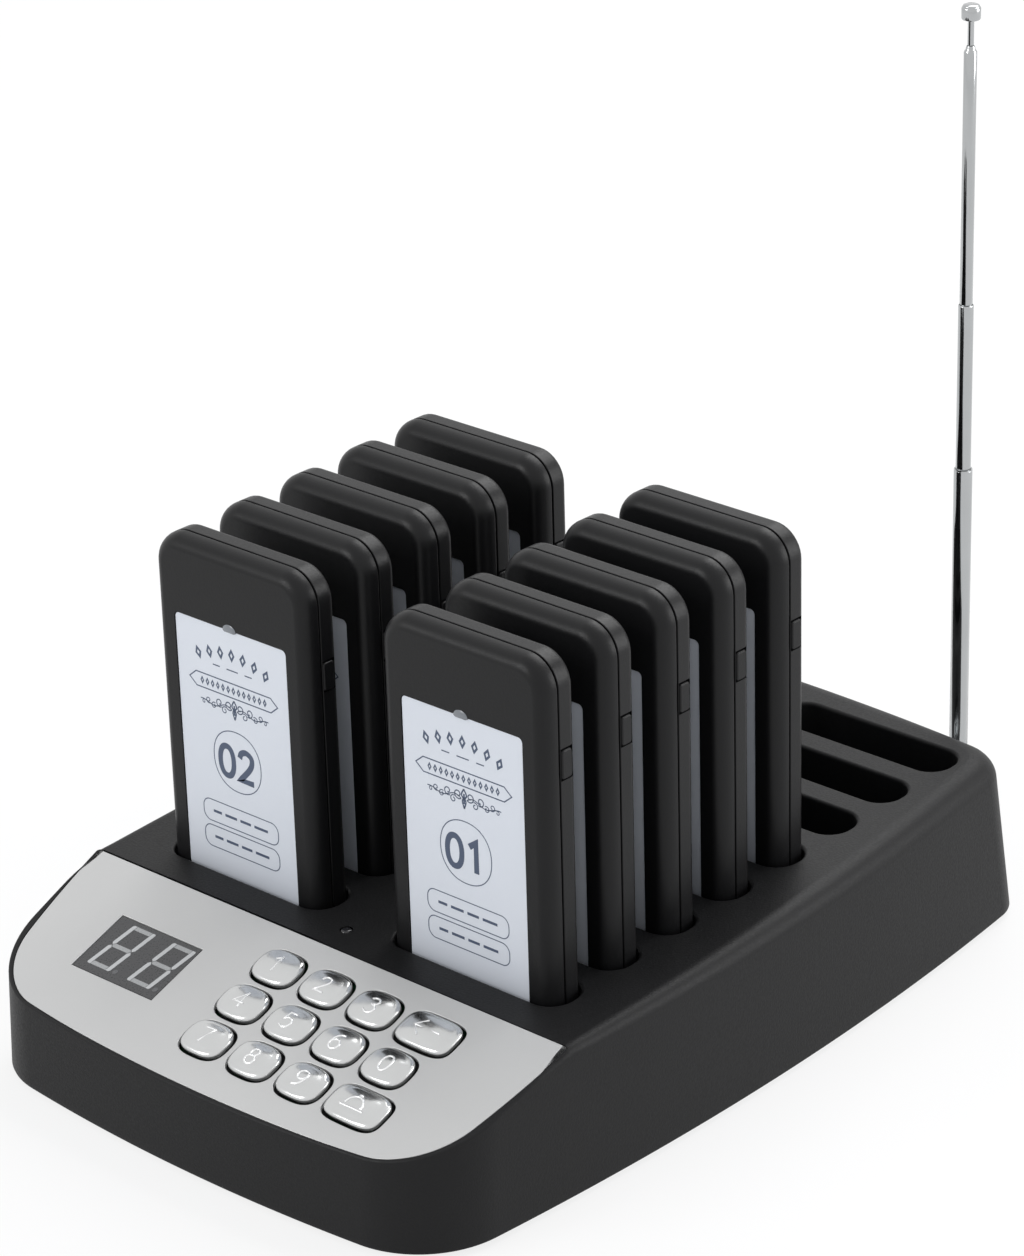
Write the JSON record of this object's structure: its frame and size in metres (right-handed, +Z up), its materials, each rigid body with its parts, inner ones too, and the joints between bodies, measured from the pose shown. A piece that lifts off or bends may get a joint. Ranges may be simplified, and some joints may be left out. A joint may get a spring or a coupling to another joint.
{
  "type": "guest pager system",
  "caption": "Guest pager charging base with sloped keypad, digit display, numbered pagers standing in charging slots and a telescopic antenna behind.",
  "frame": {"origin": "on the table, under the middle of the whole object's box", "axes": "+X to the keypad's right as its user faces it, +Y to the back, +Z up"},
  "size_m": [0.1602, 0.2466, 0.2313],
  "materials": {
    "housing": "fine satin texture",
    "rubber": "matt",
    "steel": "zinc plated",
    "board": "glass-fibre board with green solder mask",
    "contact": "gold plated spring metal",
    "lens": "diffused red",
    "black_plastic": "moulded",
    "plate": "satin silver",
    "display": "grey face with pale segments",
    "key": "chrome plated",
    "antenna": "polished",
    "pager_shell": "fine satin texture",
    "card": "printed, satin",
    "pager_button": "satin"
  },
  "bodies": {
    "base": {"base_housing": "housing", "bottom_cover": "housing", "rubber_feet": "rubber", "cover_screws": "steel", "circuit_boards": "board", "charge_contacts": "contact", "indicator_lens": "lens", "dc_inlet": "black_plastic", "faceplate": "plate", "display_module": "display", "keypad_mat": "rubber", "antenna_socket": "antenna"},
    "power_rocker": {"power_switch": "black_plastic"},
    "key_1_cap": {"key_1": "key"},
    "key_2_cap": {"key_2": "key"},
    "key_3_cap": {"key_3": "key"},
    "key_delete_cap": {"key_delete": "key"},
    "key_4_cap": {"key_4": "key"},
    "key_5_cap": {"key_5": "key"},
    "key_6_cap": {"key_6": "key"},
    "key_0_cap": {"key_0": "key"},
    "key_7_cap": {"key_7": "key"},
    "key_8_cap": {"key_8": "key"},
    "key_9_cap": {"key_9": "key"},
    "key_call_cap": {"key_call": "key"},
    "pager_01": {"pager_01_case": "pager_shell", "pager_01_card": "card"},
    "pager_01_side_button": {"pager_01_button": "pager_button"},
    "pager_02": {"pager_02_case": "pager_shell", "pager_02_card": "card"},
    "pager_02_side_button": {"pager_02_button": "pager_button"},
    "pager_03": {"pager_03_case": "pager_shell", "pager_03_card": "card"},
    "pager_03_side_button": {"pager_03_button": "pager_button"},
    "pager_04": {"pager_04_case": "pager_shell", "pager_04_card": "card"},
    "pager_04_side_button": {"pager_04_button": "pager_button"},
    "pager_05": {"pager_05_case": "pager_shell", "pager_05_card": "card"},
    "pager_05_side_button": {"pager_05_button": "pager_button"},
    "pager_06": {"pager_06_case": "pager_shell", "pager_06_card": "card"},
    "pager_06_side_button": {"pager_06_button": "pager_button"},
    "pager_07": {"pager_07_case": "pager_shell", "pager_07_card": "card"},
    "pager_07_side_button": {"pager_07_button": "pager_button"},
    "pager_08": {"pager_08_case": "pager_shell", "pager_08_card": "card"},
    "pager_08_side_button": {"pager_08_button": "pager_button"},
    "pager_09": {"pager_09_case": "pager_shell", "pager_09_card": "card"},
    "pager_09_side_button": {"pager_09_button": "pager_button"},
    "pager_10": {"pager_10_case": "pager_shell", "pager_10_card": "card"},
    "pager_10_side_button": {"pager_10_button": "pager_button"},
    "antenna_turn": {"antenna_swivel": "antenna"},
    "antenna_mast": {"antenna_lower_tube": "antenna"},
    "antenna_middle": {"antenna_middle_tube": "antenna"},
    "antenna_upper": {"antenna_upper_tube": "antenna"},
    "antenna_end": {"antenna_tip": "antenna"}
  },
  "joints": [
    {"name": "power_rock", "type": "hinge", "parent": "base", "child": "power_rocker", "pos_m": [-0.008, 0.10636, 0.02108], "axis": [-1, 0, 0], "range_deg": [0, 14]},
    {"name": "key_1_press", "type": "slide", "parent": "base", "child": "key_1_cap", "axis": [0, 0.3396, -0.9406], "range_m": [0, 0.0012], "stiffness_N_per_m": 300, "springref_m": -0.0003},
    {"name": "key_2_press", "type": "slide", "parent": "base", "child": "key_2_cap", "axis": [0, 0.3396, -0.9406], "range_m": [0, 0.0012], "stiffness_N_per_m": 300, "springref_m": -0.0003},
    {"name": "key_3_press", "type": "slide", "parent": "base", "child": "key_3_cap", "axis": [0, 0.3396, -0.9406], "range_m": [0, 0.0012], "stiffness_N_per_m": 300, "springref_m": -0.0003},
    {"name": "key_delete_press", "type": "slide", "parent": "base", "child": "key_delete_cap", "axis": [0, 0.3396, -0.9406], "range_m": [0, 0.0012], "stiffness_N_per_m": 300, "springref_m": -0.0003},
    {"name": "key_4_press", "type": "slide", "parent": "base", "child": "key_4_cap", "axis": [0, 0.3396, -0.9406], "range_m": [0, 0.0012], "stiffness_N_per_m": 300, "springref_m": -0.0003},
    {"name": "key_5_press", "type": "slide", "parent": "base", "child": "key_5_cap", "axis": [0, 0.3396, -0.9406], "range_m": [0, 0.0012], "stiffness_N_per_m": 300, "springref_m": -0.0003},
    {"name": "key_6_press", "type": "slide", "parent": "base", "child": "key_6_cap", "axis": [0, 0.3396, -0.9406], "range_m": [0, 0.0012], "stiffness_N_per_m": 300, "springref_m": -0.0003},
    {"name": "key_0_press", "type": "slide", "parent": "base", "child": "key_0_cap", "axis": [0, 0.3396, -0.9406], "range_m": [0, 0.0012], "stiffness_N_per_m": 300, "springref_m": -0.0003},
    {"name": "key_7_press", "type": "slide", "parent": "base", "child": "key_7_cap", "axis": [0, 0.3396, -0.9406], "range_m": [0, 0.0012], "stiffness_N_per_m": 300, "springref_m": -0.0003},
    {"name": "key_8_press", "type": "slide", "parent": "base", "child": "key_8_cap", "axis": [0, 0.3396, -0.9406], "range_m": [0, 0.0012], "stiffness_N_per_m": 300, "springref_m": -0.0003},
    {"name": "key_9_press", "type": "slide", "parent": "base", "child": "key_9_cap", "axis": [0, 0.3396, -0.9406], "range_m": [0, 0.0012], "stiffness_N_per_m": 300, "springref_m": -0.0003},
    {"name": "key_call_press", "type": "slide", "parent": "base", "child": "key_call_cap", "axis": [0, 0.3396, -0.9406], "range_m": [0, 0.0012], "stiffness_N_per_m": 300, "springref_m": -0.0003},
    {"name": "pager_01_lift", "type": "slide", "parent": "base", "child": "pager_01", "axis": [0, 0, 1], "range_m": [0, 0.03]},
    {"name": "pager_01_button_press", "type": "slide", "parent": "pager_01", "child": "pager_01_side_button", "axis": [-1, 0, 0], "range_m": [0, 0.0005], "stiffness_N_per_m": 1000, "springref_m": -0.0002},
    {"name": "pager_02_lift", "type": "slide", "parent": "base", "child": "pager_02", "axis": [0, 0, 1], "range_m": [0, 0.03]},
    {"name": "pager_02_button_press", "type": "slide", "parent": "pager_02", "child": "pager_02_side_button", "axis": [-1, 0, 0], "range_m": [0, 0.0005], "stiffness_N_per_m": 1000, "springref_m": -0.0002},
    {"name": "pager_03_lift", "type": "slide", "parent": "base", "child": "pager_03", "axis": [0, 0, 1], "range_m": [0, 0.03]},
    {"name": "pager_03_button_press", "type": "slide", "parent": "pager_03", "child": "pager_03_side_button", "axis": [-1, 0, 0], "range_m": [0, 0.0005], "stiffness_N_per_m": 1000, "springref_m": -0.0002},
    {"name": "pager_04_lift", "type": "slide", "parent": "base", "child": "pager_04", "axis": [0, 0, 1], "range_m": [0, 0.03]},
    {"name": "pager_04_button_press", "type": "slide", "parent": "pager_04", "child": "pager_04_side_button", "axis": [-1, 0, 0], "range_m": [0, 0.0005], "stiffness_N_per_m": 1000, "springref_m": -0.0002},
    {"name": "pager_05_lift", "type": "slide", "parent": "base", "child": "pager_05", "axis": [0, 0, 1], "range_m": [0, 0.03]},
    {"name": "pager_05_button_press", "type": "slide", "parent": "pager_05", "child": "pager_05_side_button", "axis": [-1, 0, 0], "range_m": [0, 0.0005], "stiffness_N_per_m": 1000, "springref_m": -0.0002},
    {"name": "pager_06_lift", "type": "slide", "parent": "base", "child": "pager_06", "axis": [0, 0, 1], "range_m": [0, 0.03]},
    {"name": "pager_06_button_press", "type": "slide", "parent": "pager_06", "child": "pager_06_side_button", "axis": [-1, 0, 0], "range_m": [0, 0.0005], "stiffness_N_per_m": 1000, "springref_m": -0.0002},
    {"name": "pager_07_lift", "type": "slide", "parent": "base", "child": "pager_07", "axis": [0, 0, 1], "range_m": [0, 0.03]},
    {"name": "pager_07_button_press", "type": "slide", "parent": "pager_07", "child": "pager_07_side_button", "axis": [-1, 0, 0], "range_m": [0, 0.0005], "stiffness_N_per_m": 1000, "springref_m": -0.0002},
    {"name": "pager_08_lift", "type": "slide", "parent": "base", "child": "pager_08", "axis": [0, 0, 1], "range_m": [0, 0.03]},
    {"name": "pager_08_button_press", "type": "slide", "parent": "pager_08", "child": "pager_08_side_button", "axis": [-1, 0, 0], "range_m": [0, 0.0005], "stiffness_N_per_m": 1000, "springref_m": -0.0002},
    {"name": "pager_09_lift", "type": "slide", "parent": "base", "child": "pager_09", "axis": [0, 0, 1], "range_m": [0, 0.03]},
    {"name": "pager_09_button_press", "type": "slide", "parent": "pager_09", "child": "pager_09_side_button", "axis": [-1, 0, 0], "range_m": [0, 0.0005], "stiffness_N_per_m": 1000, "springref_m": -0.0002},
    {"name": "pager_10_lift", "type": "slide", "parent": "base", "child": "pager_10", "axis": [0, 0, 1], "range_m": [0, 0.03]},
    {"name": "pager_10_button_press", "type": "slide", "parent": "pager_10", "child": "pager_10_side_button", "axis": [-1, 0, 0], "range_m": [0, 0.0005], "stiffness_N_per_m": 1000, "springref_m": -0.0002},
    {"name": "antenna_swivel_turn", "type": "hinge", "parent": "base", "child": "antenna_turn", "pos_m": [0.0413, 0.1193, 0.0235], "axis": [0, 1, 0], "range_deg": [-90, 90]},
    {"name": "antenna_tilt", "type": "hinge", "parent": "antenna_turn", "child": "antenna_mast", "pos_m": [0.0413, 0.1193, 0.0235], "axis": [-1, 0, 0], "range_deg": [0, 90]},
    {"name": "antenna_middle_slide", "type": "slide", "parent": "antenna_mast", "child": "antenna_middle", "axis": [0, 0, 1], "range_m": [-0.0436, 0.026]},
    {"name": "antenna_upper_slide", "type": "slide", "parent": "antenna_middle", "child": "antenna_upper", "axis": [0, 0, 1], "range_m": [-0.0661, 0.0035]},
    {"name": "antenna_tip_slide", "type": "slide", "parent": "antenna_upper", "child": "antenna_end", "axis": [0, 0, 1], "range_m": [-0.0061, 0.06]}
  ]
}
